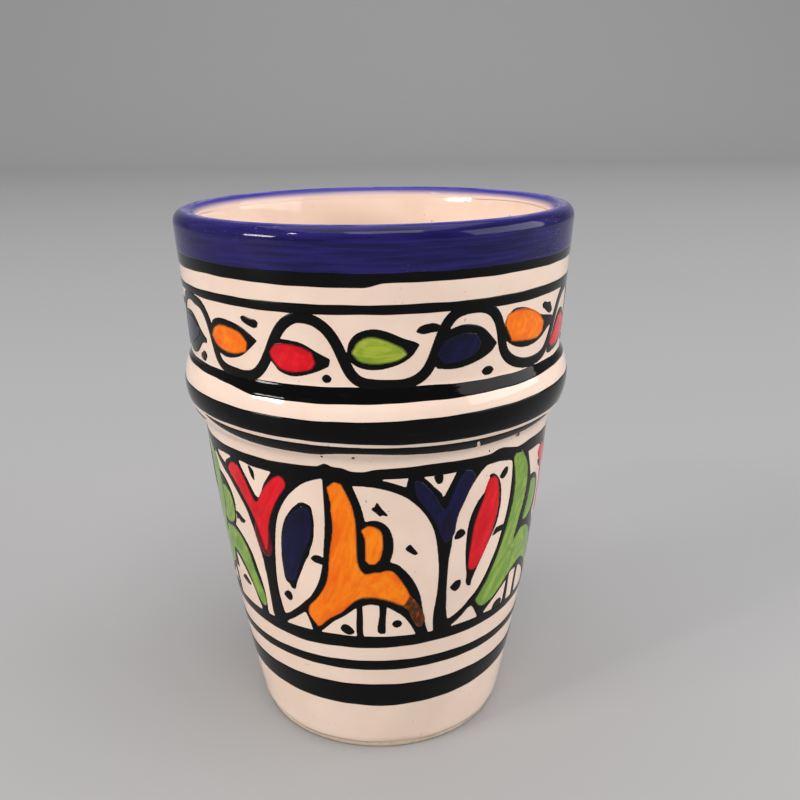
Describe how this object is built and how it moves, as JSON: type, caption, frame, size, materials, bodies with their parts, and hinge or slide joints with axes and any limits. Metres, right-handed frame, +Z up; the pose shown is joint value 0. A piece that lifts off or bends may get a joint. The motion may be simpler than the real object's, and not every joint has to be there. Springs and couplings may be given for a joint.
{
  "type": "shot glass",
  "caption": "Small tapered ceramic cup with a rolled lip and a raised bead, hand-painted in bands, a leafy vine and arched panels; holds a shot of drink.",
  "frame": {"origin": "centre of the foot ring, on the surface the cup stands on", "axes": "+Z up along the cup's axis, -Y towards the first painted figure (orange), +X to its right"},
  "size_m": [0.048, 0.048, 0.0665],
  "materials": {
    "clay": "matte bare fired clay",
    "white_glaze": "glossy warm white glaze",
    "cobalt_glaze": "glossy cobalt blue glaze, streaky brushed",
    "black_line": "glossy black glaze line",
    "orange_enamel": "glossy brushed orange glaze colour",
    "green_enamel": "glossy brushed green glaze colour",
    "red_enamel": "glossy brushed red glaze colour",
    "navy_enamel": "glossy brushed navy glaze colour"
  },
  "bodies": {
    "root": {"clay_body": "clay", "glaze_coat": "white_glaze", "glaze_lining": "white_glaze", "rim_blue_band": "cobalt_glaze", "rim_underline": "black_line", "vine_top_line": "black_line", "bead_upper_band": "black_line", "bead_lower_band": "black_line", "bead_underline": "black_line", "panel_top_line": "black_line", "panel_bottom_line": "black_line", "foot_thin_band": "black_line", "foot_wide_band": "black_line", "vine_stem": "black_line", "vine_marks": "black_line", "leaf_outlines": "black_line", "panel_marks": "black_line", "leaf_01": "red_enamel", "leaf_02": "green_enamel", "leaf_03": "navy_enamel", "leaf_04": "orange_enamel", "leaf_05": "red_enamel", "leaf_06": "green_enamel", "leaf_07": "navy_enamel", "leaf_08": "orange_enamel", "leaf_09": "red_enamel", "leaf_10": "green_enamel", "leaf_11": "navy_enamel", "leaf_12": "orange_enamel", "leaf_13": "red_enamel", "leaf_14": "green_enamel", "leaf_15": "navy_enamel", "leaf_16": "orange_enamel", "panel_1_linework": "black_line", "panel_1_figure": "orange_enamel", "panel_1_petal": "navy_enamel", "panel_1_bud": "navy_enamel", "panel_2_linework": "black_line", "panel_2_figure": "green_enamel", "panel_2_petal": "red_enamel", "panel_2_bud": "red_enamel", "panel_3_linework": "black_line", "panel_3_figure": "orange_enamel", "panel_3_petal": "navy_enamel", "panel_3_bud": "navy_enamel", "panel_4_linework": "black_line", "panel_4_figure": "green_enamel", "panel_4_petal": "red_enamel", "panel_4_bud": "red_enamel", "panel_5_linework": "black_line", "panel_5_figure": "orange_enamel", "panel_5_petal": "navy_enamel", "panel_5_bud": "navy_enamel", "panel_6_linework": "black_line", "panel_6_figure": "green_enamel", "panel_6_petal": "red_enamel", "panel_6_bud": "red_enamel"}
  },
  "joints": []
}
